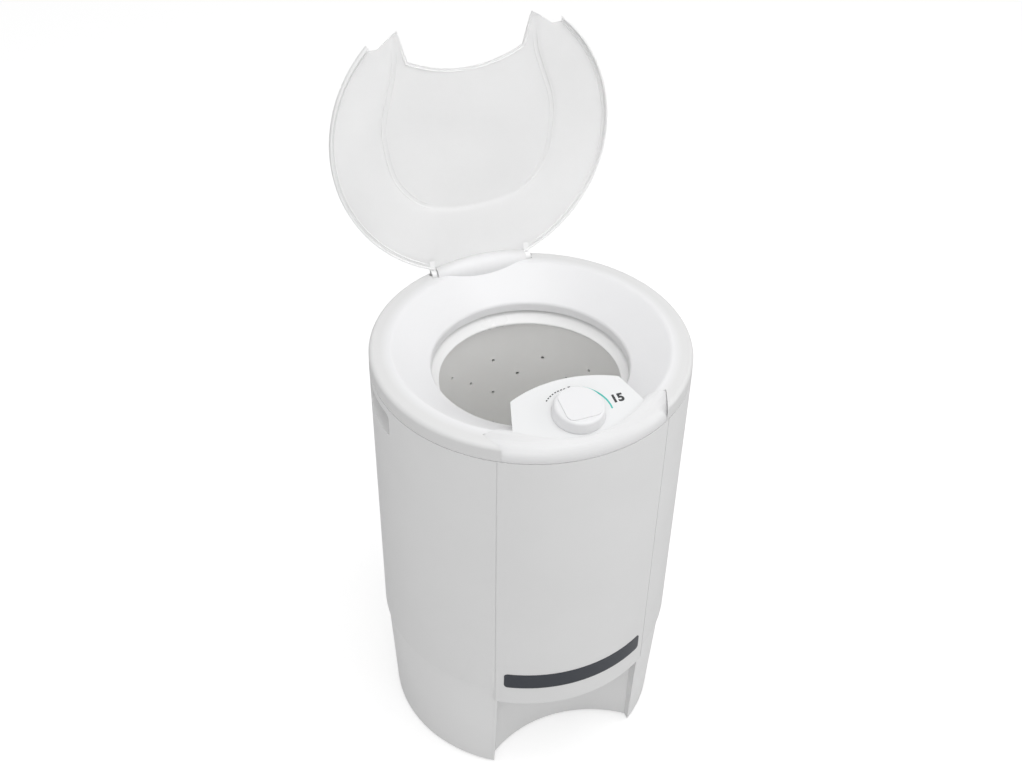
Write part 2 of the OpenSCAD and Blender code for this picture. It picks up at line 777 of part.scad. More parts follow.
module basket() {
  color([0.77, 0.77, 0.75]) difference() {
    spin([[basket_r, basket_top - 8], [basket_r + basket_wall, basket_top - 8], [basket_r + basket_wall, basket_z - 1],
          [basket_r, basket_z - 4], [64, basket_z - 4], [44, hub_top - 2], [shaft_r, hub_top - 2], [shaft_r, hub_top + 2],
          [46, hub_top + 2], [66, basket_z], [basket_r - 3, basket_z], [basket_r, basket_z + 3]]);
    for (i = [0:basket_cols - 1]) let (odd = i % 2) for (k = [0:4 - odd])
      rotate([0, 0, 90 + i * 360 / basket_cols]) translate([basket_r - 2, 0, basket_top - hole_drop - hole_pitch * (k + odd / 2)])
        rotate([0, 90, 0]) cylinder(d = drain_hole_d, h = basket_wall + 4);
  }
}

module basket_ring() {
  color([0.95, 0.95, 0.96]) spin(concat(
    [[basket_r + basket_wall + 0.05, basket_top - 16], [basket_r + basket_wall + 2.5, basket_top - 16]],
    arc(basket_r - 2, basket_top - 8, 7.5, 0, 90, 4),
    arc(basket_mouth_r + 2.5, basket_top - 13, 2.5, 127, 200, 3),
    [[basket_mouth_r + 2, basket_top - 16], [basket_r - 3, basket_top - 8], [basket_r + basket_wall + 0.05, basket_top - 8]]));
}

module basket_hub() {
  color([0.7, 0.7, 0.72]) difference() {
    union() {
      translate([0, 0, hub_low]) cylinder(r = 22, h = hub_top - 2 - hub_low);
      translate([0, 0, hub_top - 8]) cylinder(r = hub_r, h = 6);
    }
    translate([0, 0, hub_low - 1]) cylinder(r = shaft_r, h = 40);
  }
}

module hub_nut() {
  color([0.75, 0.75, 0.76]) translate([0, 0, hub_top + 2]) difference() {
    union() {
      cylinder(r = 21, h = 2.5);
      cylinder(r = 14, h = 13, $fn = 6);
    }
    translate([0, 0, -1]) cylinder(r = shaft_r, h = 20);
  }
}

module drive_shaft() {
  color([0.75, 0.75, 0.76]) translate([0, 0, motor_low - 6]) cylinder(r = shaft_r, h = hub_top + 17 - (motor_low - 6));
}

module rotor() {
  color([0.5, 0.5, 0.52]) translate([0, 0, core_low]) tube(stator_in - gap, shaft_r, core_h);
}

module brake_disc() {
  color([0.6, 0.6, 0.62]) difference() {
    union() {
      translate([0, 0, disc_z]) cylinder(r = disc_r, h = disc_t);
      translate([0, 0, disc_z]) cylinder(r = 16, h = 16);
    }
    translate([0, 0, disc_z - 1]) cylinder(r = shaft_r, h = 20);
  }
}

// ---- motor ----

module motor_shell() {
  color([0.62, 0.63, 0.65]) translate([0, 0, motor_low + 6]) tube(motor_r, motor_r - 3, motor_top - motor_low - 12);
}

module motor_upper_shield() {
  color([0.66, 0.67, 0.68]) shield(motor_top - 6, 1);
}

module motor_lower_shield() {
  color([0.66, 0.67, 0.68]) shield(motor_low + 6, -1);
}

// end shield with a bearing boss; s = 1 faces up, s = -1 faces down
module shield(z, s) {
  translate([0, 0, z]) mirror([0, 0, s < 0 ? 1 : 0]) difference() {
    union() {
      cylinder(r = motor_r, h = 6);
      cylinder(r = bearing_r + 3.5, h = 12);
    }
    translate([0, 0, -1]) cylinder(r = shaft_r + 3, h = 20);
    translate([0, 0, 1.5]) cylinder(r = bearing_r, h = 12);
    for (a = bolt_at) rotate([0, 0, a]) translate([bolt_rad, 0, -1]) cylinder(r = 2, h = 8);
  }
}

module motor_bolts() {
  color([0.7, 0.7, 0.72]) for (a = bolt_at) rotate([0, 0, a]) translate([bolt_rad, 0, motor_low - plate_t - 1]) {
    cylinder(r = 2, h = motor_top - motor_low + plate_t + 1);
    translate([0, 0, motor_top - motor_low + plate_t + 1]) cylinder(r = 3.6, h = 2.5);
    translate([0, 0, -2]) cylinder(r = 3.6, h = 3, $fn = 6);
  }
}

module motor_bearings() {
  color([0.75, 0.75, 0.76]) {
    translate([0, 0, motor_top - 4.5]) tube(bearing_r, shaft_r + run_fit, 10);
    translate([0, 0, motor_low - 5.5]) tube(bearing_r, shaft_r + run_fit, 10);
  }
}

module stator() {
  color([0.5, 0.5, 0.52]) difference() {
    translate([0, 0, core_low]) tube(motor_r - 3, stator_in, core_h);
    for (a = bolt_at) rotate([0, 0, a]) translate([bolt_rad, 0, core_low - 5]) cylinder(r = 2.4, h = core_h + 10);
  }
}

module stator_windings() {
  color([0.72, 0.42, 0.22]) {
    translate([0, 0, core_low - 15]) tube(52, 40, 15);
    translate([0, 0, core_low + core_h]) tube(52, 40, 5);
  }
}

module motor_plate() {
  color([0.55, 0.56, 0.58]) translate([0, 0, motor_low - plate_t]) difference() {
    union() {
      cylinder(r = motor_r + 2, h = plate_t);
      at_mounts() {
        translate([-mount_r, -17, 0]) cube([mount_r, 34, plate_t]);
        cylinder(r = 17, h = plate_t);
      }
    }
    translate([0, 0, -1]) cylinder(r = bearing_r + 6, h = plate_t + 2);
    at_mounts() translate([0, 0, -1]) cylinder(r = 3, h = plate_t + 2);
    for (a = bolt_at) rotate([0, 0, a]) translate([bolt_rad, 0, -1]) cylinder(r = 2, h = plate_t + 2);
  }
}

module rubber_mounts() {
  color([0.18, 0.18, 0.18]) at_mounts() difference() {
    translate([0, 0, deck_z + mount_pad_h]) cylinder(r = 14, h = motor_low - plate_t - deck_z - mount_pad_h);
    translate([0, 0, deck_z]) cylinder(r = 3, h = 40);
  }
}

module mount_nuts() {
  color([0.7, 0.7, 0.72]) at_mounts() {
    translate([0, 0, deck_z + 1]) cylinder(r = 3, h = motor_low + 6 - deck_z - 1);
    translate([0, 0, motor_low]) cylinder(r = 6, h = 5, $fn = 6);
  }
}

// ---- interlock and brake ----

module interlock_rod() {
  color([0.75, 0.75, 0.76]) translate([rod_x, rod_y, 0]) {
    translate([0, 0, lever_top + gap]) cylinder(r = rod_r, h = rod_top - lever_top - gap);
    translate([0, 0, rod_top - 6]) cylinder(r = rod_head_r, h = 6);
    translate([0, 0, step_z + shelf_t + 23.5]) cylinder(r = 8, h = 3);
  }
}

module lid_switch() {
  color([0.15, 0.15, 0.16]) at_rod() {
    translate([rod_rad - 11, 3.4, step_z + shelf_t]) cube([13, 22, 20]);
    translate([rod_rad - 2, 3.8, step_z + shelf_t + 20]) cube([4, 3, 2.9]);
  }
}

module brake_lever() {
  color([0.6, 0.6, 0.62]) at_rod() difference() {
    translate([40, -5, lever_top - lever_t]) cube([rod_rad + 3 - 40, 10, lever_t]);
    translate([pivot_rad, -6, lever_top - lever_t / 2]) rotate([-90, 0, 0]) cylinder(r = 1.5 + run_fit, h = 12);
  }
}

module brake_pad() {
  color([0.35, 0.25, 0.2]) at_rod() translate([46, 0, lever_top]) cylinder(r = 5, h = disc_z - lever_top - 0.3);
}

module brake_bracket() {
  color([0.6, 0.6, 0.62]) at_rod() difference() {
    union() {
      for (i = [-1, 1]) translate([pivot_rad - 6, i * 7.5 - 1.25, lever_top - lever_t - 4]) cube([18, 2.5, step_z - lever_top + lever_t + 4]);
      translate([pivot_rad - 6, -8.75, lever_top - lever_t - 5.5]) cube([18, 17.5, 1.5]);
    }
    translate([pivot_rad, -12, lever_top - lever_t / 2]) rotate([-90, 0, 0]) cylinder(r = 1.5, h = 24);
  }
}

module brake_pivot() {
  color([0.75, 0.75, 0.76]) at_rod() translate([pivot_rad, -9.5, lever_top - lever_t / 2]) rotate([-90, 0, 0]) cylinder(r = 1.5, h = 19);
}

module brake_spring() {
  color([0.6, 0.62, 0.65]) at_rod() {
    translate([pivot_rad - 5, -4, lever_top - lever_t - 4]) cube([45, 8, 0.6]);
    translate([pivot_rad + 38, -4, lever_top - lever_t - 4]) cube([2, 8, 3.5]);
  }
}

// ---- electrics ----

module capacitor() {
  color([0.85, 0.85, 0.86]) translate([cap_x, cap_y, deck_z + deck_t]) cylinder(r = cap_r, h = 66);
}

module capacitor_clamp() {
  color([0.6, 0.6, 0.62]) translate([cap_x, cap_y, deck_z + deck_t]) {
    translate([0, 0, 18]) tube(cap_r + 1.5, cap_r, 14);
    translate([-cap_r - 8.5, -6, 0]) cube([8, 12, 1.5]);
    translate([-cap_r - 3, -6, 0]) cube([2, 12, 32]);
  }
}

cabinet();
base_moulding();
base_shelf();
base_deck();
recess_wall();
recess_ceiling();
rubber_feet();
base_screws();
cord_gland();
badge_strip();
top_ring();
control_housing();
fascia();
timer_body();
timer_screws();
timer_shaft();
timer_knob();
lid();
lid_hinge_pins();
tub();
tub_gasket();
tub_screws();
shaft_seal();
drain_spout();
basket();
basket_ring();
basket_hub();
hub_nut();
drive_shaft();
rotor();
brake_disc();
motor_shell();
motor_upper_shield();
motor_lower_shield();
motor_bolts();
motor_bearings();
stator();
stator_windings();
motor_plate();
rubber_mounts();
mount_nuts();
interlock_rod();
lid_switch();
brake_lever();
brake_pad();
brake_bracket();
brake_pivot();
brake_spring();
capacitor();
capacitor_clamp();
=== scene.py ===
import math

import bpy
import bmesh
from mathutils import Matrix, Vector
from mathutils.geometry import delaunay_2d_cdt


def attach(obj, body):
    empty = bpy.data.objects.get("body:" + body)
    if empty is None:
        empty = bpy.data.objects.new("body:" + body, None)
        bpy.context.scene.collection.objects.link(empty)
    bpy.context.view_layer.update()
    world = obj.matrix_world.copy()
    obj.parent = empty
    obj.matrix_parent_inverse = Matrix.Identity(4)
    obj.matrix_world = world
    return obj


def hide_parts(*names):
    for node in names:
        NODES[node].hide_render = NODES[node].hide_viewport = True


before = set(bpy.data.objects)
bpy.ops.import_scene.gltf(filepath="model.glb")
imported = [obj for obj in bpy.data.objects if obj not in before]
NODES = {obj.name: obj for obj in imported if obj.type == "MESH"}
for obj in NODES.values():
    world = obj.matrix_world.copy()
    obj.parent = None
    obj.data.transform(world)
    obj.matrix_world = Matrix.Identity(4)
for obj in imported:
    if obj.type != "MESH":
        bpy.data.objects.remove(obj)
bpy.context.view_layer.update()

MM = 0.001

# ---- camera: the photograph's viewpoint, in metres ----

IMAGE_W = 1022
FOCAL_PX = 1400
SENSOR = 36
EYE = Vector((-0.5692, -1.3546, 1.7776))
RIGHT = Vector((0.9326, -0.3608, 0.0138))
UP = Vector((0.2184, 0.5942, 0.7741))


def make_camera():
    data = bpy.data.cameras.new("camera")
    data.sensor_width = SENSOR
    data.lens = FOCAL_PX * SENSOR / IMAGE_W
    data.clip_end = 60
    camera = bpy.data.objects.new("camera", data)
    bpy.context.scene.collection.objects.link(camera)
    back = RIGHT.cross(UP).normalized()
    up = back.cross(RIGHT).normalized()
    turn = Matrix((RIGHT.normalized(), up, back)).transposed()
    camera.matrix_world = Matrix.Translation(EYE) @ turn.to_4x4()
    bpy.context.scene.camera = camera


# ---- node helpers for the materials ----

def fresh_tree(owner):
    """The empty node tree of a material or a world."""
    owner.use_nodes = True
    owner.node_tree.nodes.clear()
    return owner.node_tree


class Paint:
    """A Principled material with small procedural variation, built step by step."""

    def __init__(self, name, rough=0.4):
        self.mat = bpy.data.materials.new(name)
        self.tree = fresh_tree(self.mat)
        self.out = self.node("ShaderNodeOutputMaterial")
        self.bsdf = self.node("ShaderNodeBsdfPrincipled")
        self.link(self.bsdf.outputs[0], self.out.inputs[0])
        self.bsdf.inputs["Roughness"].default_value = rough
        self.coord = self.node("ShaderNodeTexCoord").outputs["Object"]
        self.height = None

    def node(self, kind):
        return self.tree.nodes.new(kind)

    def link(self, a, b):
        self.tree.links.new(a, b)

    def put(self, **values):
        for key, value in values.items():
            self.bsdf.inputs[key.replace("_", " ")].default_value = value
        return self

    def stretched(self, sx, sy, sz):
        m = self.node("ShaderNodeMapping")
        m.inputs["Scale"].default_value = (sx, sy, sz)
        self.link(self.coord, m.inputs["Vector"])
        return m.outputs[0]

    def noise(self, scale, detail=3.0, where=None):
        n = self.node("ShaderNodeTexNoise")
        n.inputs["Scale"].default_value = scale
        n.inputs["Detail"].default_value = detail
        self.link(where or self.coord, n.inputs["Vector"])
        return n.outputs["Fac"]

    def spread(self, value, low, high, start=0.3, end=0.7):
        r = self.node("ShaderNodeMapRange")
        r.inputs["From Min"].default_value = start
        r.inputs["From Max"].default_value = end
        r.inputs["To Min"].default_value = low
        r.inputs["To Max"].default_value = high
        self.link(value, r.inputs["Value"])
        return r.outputs[0]

    def tint(self, value, dark, light):
        m = self.node("ShaderNodeMix")
        m.data_type = "RGBA"
        m.inputs["A"].default_value = (*dark, 1)
        m.inputs["B"].default_value = (*light, 1)
        self.link(value, m.inputs["Factor"])
        self.link(m.outputs["Result"], self.bsdf.inputs["Base Color"])
        return self

    def rough(self, value):
        self.link(value, self.bsdf.inputs["Roughness"])
        return self

    def bump(self, value, distance, strength=1.0):
        b = self.node("ShaderNodeBump")
        b.inputs["Distance"].default_value = distance
        b.inputs["Strength"].default_value = strength
        self.link(value, b.inputs["Height"])
        if self.height is not None:
            self.link(self.height, b.inputs["Normal"])
        self.height = b.outputs[0]
        self.link(self.height, self.bsdf.inputs["Normal"])
        return self


def scaled(colour, k):
    return tuple(c * k for c in colour)


def moulded(name, colour, rough, grain=1800, depth=0.00003, vary=0.03):
    """Moulded plastic: fine spark-eroded grain, faint flow clouds and a handled, uneven gloss."""
    p = Paint(name, rough)
    clouds = p.noise(7, 4)
    p.tint(p.spread(clouds, 0, 1), scaled(colour, 1 - vary), colour)
    p.rough(p.spread(p.noise(26, 5), rough - 0.05, rough + 0.06))
    p.bump(p.noise(grain, 2), depth, 0.5)
    return p


def painted_shoulder_shade(name, funnel, shoulder_shade, rough):
    """Moulded plastic with painted shade: its outer shoulder, which turns outward, is painted a little
    greyer than the funnel inside it.
    """
    p = moulded(name, funnel, rough, depth=FINE, vary=0.015)
    flat = p.node("ShaderNodeVectorMath")
    flat.operation = "MULTIPLY"
    flat.inputs[1].default_value = (1, 1, 0)
    p.link(p.coord, flat.inputs[0])
    radius = p.node("ShaderNodeVectorMath")
    radius.operation = "LENGTH"
    p.link(flat.outputs[0], radius.inputs[0])
    # Painted shade mask: 0 inside the crest, rising to 1 across the outward-facing shoulder
    edge = p.spread(radius.outputs["Value"], 0, 1, CREST_R, CREST_R + SHOULDER_SHADE_FADE)
    clouds = p.spread(p.noise(7, 4), 0, 0.2)
    both = p.node("ShaderNodeMath")
    both.operation = "MAXIMUM"
    p.link(edge, both.inputs[0])
    p.link(clouds, both.inputs[1])
    return p.tint(both.outputs[0], funnel, shoulder_shade)


def metal(name, colour, rough, stretch=(1, 1, 60), scale=160):
    """Drawn or ground metal with fine marks along one direction."""
    p = Paint(name, rough).put(Metallic=1.0)
    streaks = p.noise(scale, 4, p.stretched(*stretch))
    p.tint(p.spread(streaks, 0, 1), scaled(colour, 0.86), colour)
    p.rough(p.spread(streaks, rough - 0.06, rough + 0.12))
    p.bump(streaks, 0.00004, 0.4)
    return p


def cast(name, colour, rough):
    """Cast alloy with a fine pebbled skin."""
    p = Paint(name, rough).put(Metallic=1.0)
    p.tint(p.spread(p.noise(40, 5), 0, 1), scaled(colour, 0.8), colour)
    p.rough(p.spread(p.noise(90, 3), rough - 0.05, rough + 0.15))
    p.bump(p.noise(700, 3), 0.0001, 0.6)
    return p


def rubber(name, colour):
    p = Paint(name, 0.75)
    p.tint(p.spread(p.noise(60, 4), 0, 1), scaled(colour, 0.8), scaled(colour, 1.2))
    p.rough(p.spread(p.noise(130, 3), 0.65, 0.85))
    p.bump(p.noise(900, 2), 0.00005, 0.6)
    return p


def banded(name, rough, metallic, scale, wander, dark, light, height, strength):
    """Metal in fine rings round Z, as of lacquered wire or of stacked sheets."""
    p = Paint(name, rough).put(Metallic=metallic)
    w = p.node("ShaderNodeTexWave")
    w.wave_type = "BANDS"
    w.bands_direction = "Z"
    w.inputs["Scale"].default_value = scale
    w.inputs["Distortion"].default_value = wander
    p.link(p.coord, w.inputs["Vector"])
    p.tint(w.outputs["Fac"], dark, light)
    p.bump(w.outputs["Fac"], height, strength)
    return p


def windings(name):
    return banded(name, 0.3, 0.85, 320, 1.2, (0.20, 0.06, 0.02), (0.62, 0.27, 0.10), 0.0004, 0.8)


def laminated(name):
    return banded(name, 0.45, 1.0, 300, 0.1, (0.14, 0.14, 0.15), (0.42, 0.43, 0.45), 0.0002, 0.7)


def milky(name, clear, low, high):
    """Translucent lid plastic: it scatters what shows through and keeps a soft gloss."""
    p = Paint(name, 0.42).put(IOR=1.46, Transmission_Weight=clear)
    clouds = p.noise(9, 5)
    p.tint(p.spread(clouds, 0, 1), low, high)
    p.rough(p.spread(p.noise(30, 4), 0.34, 0.5))
    p.bump(p.noise(500, 2), 0.00006, 0.4)
    return p


def printed(name, colour):
    p = Paint(name, 0.35)
    p.tint(p.spread(p.noise(600, 2), 0, 1), scaled(colour, 0.92), colour)
    p.rough(p.spread(p.noise(300, 2), 0.3, 0.42))
    return p


# Grain depths of the smoother mouldings, and where the painted shade on the ring's shoulder starts, in
# metres
FINE = 0.000015
FINEST = 0.00001
CREST_R = 0.188
SHOULDER_SHADE_FADE = 0.012

WHITE_SHELL = (0.75, 0.75, 0.75)
WHITE_BASE = (0.79, 0.79, 0.79)
WHITE_RING = (0.77, 0.77, 0.78)
# Painted shade: a greyer copy of the ring's white for its outward-facing shoulder
WHITE_SHOULDER_PAINTED_SHADE = (0.69, 0.69, 0.69)
# Painted shade: a darker copy of the ring's white for the front collar
WHITE_COLLAR_PAINTED_SHADE = (0.71, 0.71, 0.715)
WHITE_FASCIA = (0.75, 0.755, 0.76)
WHITE_KNOB = (0.76, 0.76, 0.77)

LOOKS = {
    "shell_white": lambda n: moulded(n, WHITE_SHELL, 0.42),
    "base_white": lambda n: moulded(n, WHITE_BASE, 0.46, grain=1500, depth=0.00004),
    "ring_white": lambda n: painted_shoulder_shade(n, WHITE_RING, WHITE_SHOULDER_PAINTED_SHADE, 0.34),
    "fascia_white": lambda n: moulded(n, WHITE_FASCIA, 0.38, depth=FINEST, vary=0.008),
    "knob_white": lambda n: moulded(n, WHITE_KNOB, 0.32, depth=FINE, vary=0.02),
    "lid_clear": lambda n: milky(n, 0.40, (0.91, 0.91, 0.91), (0.96, 0.96, 0.96)),
    "badge_dark": lambda n: moulded(n, (0.029, 0.034, 0.045), 0.36, depth=FINEST, vary=0.05),
    "basket_grey": lambda n: moulded(n, (0.955, 0.952, 0.94), 0.5, vary=0.015),
    "basket_white": lambda n: moulded(n, (0.82, 0.82, 0.82), 0.3, vary=0.02),
    "tub_grey": lambda n: moulded(n, (0.62, 0.64, 0.66), 0.5, vary=0.06),
    "timer_cream": lambda n: moulded(n, (0.62, 0.58, 0.44), 0.5, vary=0.06),
    "switch_black": lambda n: moulded(n, (0.02, 0.02, 0.022), 0.45, vary=0.2),
    "rubber_dark": lambda n: rubber(n, (0.03, 0.03, 0.03)),
    "pad_brown": lambda n: rubber(n, (0.11, 0.07, 0.045)),
    "steel_bright": lambda n: metal(n, (0.66, 0.66, 0.68), 0.26),
    "steel_grey": lambda n: metal(n, (0.42, 0.43, 0.45), 0.38),
    "alloy": lambda n: cast(n, (0.52, 0.53, 0.55), 0.42),
    "winding_copper": windings,
    "capacitor_grey": lambda n: moulded(n, (0.60, 0.60, 0.62), 0.35, vary=0.04),
}

NODES_OF = {
    "shell_white": ["cabinet"],
    "base_white": ["base_moulding", "base_shelf", "base_deck", "recess_wall", "recess_ceiling",
                   "drain_spout"],
    "ring_white": ["top_ring", "control_housing"],
    "fascia_white": ["fascia"],
    "knob_white": ["timer_knob"],
    "lid_clear": ["lid"],
    "badge_dark": ["badge_strip"],
    "basket_grey": ["basket"],
    "basket_white": ["basket_ring"],
    "tub_grey": ["tub"],
    "timer_cream": ["timer_body"],
    "switch_black": ["lid_switch", "cord_gland"],
    "rubber_dark": ["rubber_feet", "tub_gasket", "shaft_seal", "rubber_mounts"],
    "pad_brown": ["brake_pad"],
    "steel_bright": ["base_screws", "timer_screws", "timer_shaft", "lid_hinge_pins", "tub_screws",
                     "hub_nut", "drive_shaft", "motor_bolts", "motor_bearings", "mount_nuts",
                     "brake_pivot", "interlock_rod", "brake_spring"],
    "steel_grey": ["stator", "motor_plate", "brake_disc", "brake_lever", "brake_bracket",
                   "capacitor_clamp", "rotor"],
    "alloy": ["motor_shell", "motor_upper_shield", "motor_lower_shield", "basket_hub"],
    "winding_copper": ["stator_windings"],
    "capacitor_grey": ["capacitor"],
}
SLOT_OF = {n: slot for slot, names in NODES_OF.items() for n in names}
MATERIALS = {slot: make(slot).mat for slot, make in LOOKS.items()}
# A lighter, less clear copy of the lid plastic: painted highlight along the lid's rim, ears and ribs
MATERIALS["lid_edge_highlight"] = milky("lid_edge_highlight", 0.12, (0.93, 0.93, 0.93), (0.97, 0.97, 0.97)).mat
MATERIALS["lamination"] = laminated("lamination").mat
MATERIALS["print_dark"] = printed("print_dark", (0.035, 0.037, 0.04)).mat
MATERIALS["print_teal"] = printed("print_teal", (0.05, 0.48, 0.42)).mat
# The collar's darker copy of the ring's white is painted shade
MATERIALS["collar_painted_shade"] = moulded("collar_painted_shade", WHITE_COLLAR_PAINTED_SHADE, 0.34, depth=FINE, vary=0.015).mat

# Nodes whose look differs from that of their slot; the control housing takes a darker copy of the
# ring's white, as painted shade on its collar
SPECIAL = {"stator": "lamination", "control_housing": "collar_painted_shade"}


def dress_cad():
    for name, obj in NODES.items():
        slot = SPECIAL.get(name) or SLOT_OF.get(name)
        obj.data.materials.clear()
        obj.data.materials.append(MATERIALS[slot])


# ---- pieces ----

WELD = 1e-7
SHARP_DEG = 35


def piece(name, mesh, body, slot, material=None, sharp=SHARP_DEG):
    obj = bpy.data.objects.new(name, mesh)
    bpy.context.scene.collection.objects.link(obj)
    mesh.materials.append(MATERIALS[material or slot])
    mesh.shade_smooth()
    mesh.set_sharp_from_angle(angle=math.radians(sharp))
    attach(obj, body)
    return obj


def mesh_of(name, verts, faces):
    """A welded mesh from vertices in millimetres."""
    mesh = bpy.data.meshes.new(name)
    mesh.from_pydata([Vector(v) * MM for v in verts], [], faces)
    bm = bmesh.new()
    bm.from_mesh(mesh)
    bmesh.ops.remove_doubles(bm, verts=bm.verts, dist=WELD)
    bmesh.ops.recalc_face_normals(bm, faces=bm.faces)
    bm.to_mesh(mesh)
    bm.free()
    return mesh


# ---- lid: one translucent moulding with a folded, raised middle ----
# Millimetres, of the closed lid. Its outline, rim and ears follow the solid lid that it replaces.

LID_R = 198.5
LID_WALL = 2.5
LID_OPEN = 98
HINGE = Vector((0, 192, 647))
SKIRT_Z = 649

# The flat middle, and the slope that falls away from it
DOME_Y = -20
FLAT_R = 124
FLAT_Z = 665
EDGE_R = 218.5
EDGE_Z = 654
BEND_SOFTEN = 3
BEND_HALF = 9

# The notch that goes round the control panel, with the tips and steps beside it
NOTCH_R = 175
NOTCH_Y = -269
NOTCH_CORNER = (80, -112)
NOTCH_TIP = (104, -196)
NOTCH_LOW = -151
STEP_R = 183.2
STEP_X = 135.5
STEP_Y = -138

# The ears, and the ring's hinge barrel that they sit beside
EAR_X = 66.8
EAR_W = 7.4
EAR_R = 6.5
EAR_BEVEL = 0.4
EAR_STEPS = 36
EAR_WEB = ((170, 652.5, 655.5), (176, 650.5, 655.3), (190, 649.8, 653.4))
LOBE_H = 3
LOBE_DEG = LID_OPEN - 10
BARREL_R = 17.8
BARREL_END_R = 10.3
BARREL_RISE = 9
REAR_CUT_Y = 184

# The fold round the raised middle
FOLD = [(100, -150), (103, -105), (121, -40), (122, 0), (111, 50), (80, 88), (40, 102), (0, 105)]
FOLD_MIDDLE = Vector((0, -20))
FOLD_STEPS = 14
FOLD_DROP = 1.6
FOLD_BEAD = 0.88
FOLD_HALF = 3.2
RIM_FADE = 14

# Steps of the outline's curves
RIM_STEPS = 110
REAR_STEPS = 24
TIP_STEPS = 8
NOTCH_STEPS = 14
SKIRT_STEPS = 120
RIB_STEPS = 90
SAME_POINT = 0.05

# Ribs: how far in from the edges, and how deep their foot stands in the wall
RIM_RIB_IN = 6.5
FOLD_RIB_IN = 6
NOTCH_RIB_IN = 3.5
RIB_ROOT = 0.4


def spline(points, count):
    """Catmull-Rom curve through points."""
    ends = [points[0]] + list(points) + [points[-1]]
    out = []
    for i in range(1, len(ends) - 2):
        p0, p1, p2, p3 = (Vector(ends[i + k]) for k in (-1, 0, 1, 2))
        for j in range(count):
            t = j / count
            out.append(0.5 * (2 * p1 + (p2 - p0) * t + (2 * p0 - 5 * p1 + 4 * p2 - p3) * t * t
                              + (3 * p1 - p0 - 3 * p2 + p3) * t ** 3))
    out.append(Vector(points[-1]))
    return out


def fold_curve():
    right = spline(FOLD, FOLD_STEPS)
    left = [Vector((-p.x, p.y)) for p in reversed(right[:-1])]
    return right + left


FOLD_LINE = fold_curve()


def fold_distance(x, y):
    """Distance to the fold line, above 0 on the raised side."""
    near = min(FOLD_LINE, key=lambda p: (x - p.x) ** 2 + (y - p.y) ** 2)
    d = math.sqrt((x - near.x) ** 2 + (y - near.y) ** 2)
    inside = (Vector((x, y)) - FOLD_MIDDLE).length < (near - FOLD_MIDDLE).length
    return d if inside else -d


def smooth(t):
    t = max(0.0, min(1.0, t))
    return t * t * (3 - 2 * t)


def dome_z(x, y):
    r = math.hypot(x, y - DOME_Y)
    slope = (FLAT_Z - EDGE_Z) / (EDGE_R - FLAT_R)
    z = FLAT_Z - slope * max(0.0, r - FLAT_R)
    return z - BEND_SOFTEN * slope * math.exp(-((r - FLAT_R) / BEND_HALF) ** 2)


def lid_z(x, y):
    """Height of the closed lid's outer face."""
    d = fold_distance(x, y)
    raised = smooth(d / (2 * FOLD_HALF) + 0.5)
    rim = smooth((LID_R - math.hypot(x, y)) / RIM_FADE)
    crease = FOLD_BEAD * math.exp(-(d / FOLD_HALF) ** 2)
    return dome_z(x, y) - (FOLD_DROP * (1 - raised) - crease) * rim


def barrel_edge(x):
    """How far forward the hinge barrel reaches at x, at the lid's height."""
    span = EAR_X * EAR_X + (BARREL_R - BARREL_END_R) ** 2
    big = span / (2 * (BARREL_R - BARREL_END_R))
    r = BARREL_R - (big - math.sqrt(big * big - x * x))
    if r <= BARREL_RISE:
        return HINGE.y
    return HINGE.y - math.sqrt(max(r * r - BARREL_RISE * BARREL_RISE, 0))


def arc_points(r, a0, a1, steps, middle_y=0, first=0):
    """Points on an arc about (0, middle_y), from angle a0 to a1."""
    turns = [a0 + (a1 - a0) * i / steps for i in range(first, steps + 1)]
    return [(r * math.cos(a), middle_y + r * math.sin(a)) for a in turns]


def rim_angles():
    """Where the round rim starts, at the right front step, and where it ends, at the ear."""
    return math.atan2(-math.sqrt(LID_R ** 2 - STEP_X ** 2), STEP_X), math.acos(EAR_X / LID_R)


def lid_outline():
    """The lid's plan, anticlockwise from the right front step."""
    rim = arc_points(LID_R, *rim_angles(), RIM_STEPS)
    rear = [EAR_X * (1 - 2 * i / REAR_STEPS) for i in range(REAR_STEPS + 1)]
    points = rim + [(x, min(REAR_CUT_Y, barrel_edge(x))) for x in rear]
    points += [(-x, y) for x, y in reversed(rim)]
    front = front_edge()
    points += [(-x, y) for x, y in front]
    points += [(x, y) for x, y in reversed(front[:-1])]
    return points


def front_edge():
    """From the step at the lid's front, in along the tip and the notch to its middle, for x above 0."""
    inner = math.sqrt(STEP_R ** 2 - STEP_Y ** 2)
    c, t = Vector(NOTCH_CORNER), Vector(NOTCH_TIP)
    run = t - c
    a, b, k = run.dot(run), 2 * c.dot(run), c.dot(c) - STEP_R ** 2
    tip = c + run * ((-b + math.sqrt(b * b - 4 * a * k)) / (2 * a))
    out = [(STEP_X, STEP_Y), (inner, STEP_Y)]
    out += arc_points(STEP_R, math.atan2(STEP_Y, inner), math.atan2(tip.y, tip.x), TIP_STEPS, first=1)
    out += [tuple(tip + (c - tip) * i / TIP_STEPS) for i in range(1, TIP_STEPS + 1)]
    corner = math.atan2(math.sqrt(NOTCH_R ** 2 - c.x ** 2), c.x)
    return out + arc_points(NOTCH_R, corner, math.pi / 2, NOTCH_STEPS, NOTCH_Y)


def inside_outline(p, outline, margin):
    """Whether p lies inside the outline and at least a margin away from its points."""
    x, y = p
    hit = False
    n = len(outline)
    for i in range(n):
        (x0, y0), (x1, y1) = outline[i], outline[(i + 1) % n]
        if (y0 > y) != (y1 > y) and x < (x1 - x0) * (y - y0) / (y1 - y0) + x0:
            hit = not hit
    if not hit:
        return False
    return min((x - a) ** 2 + (y - b) ** 2 for a, b in outline) > margin ** 2


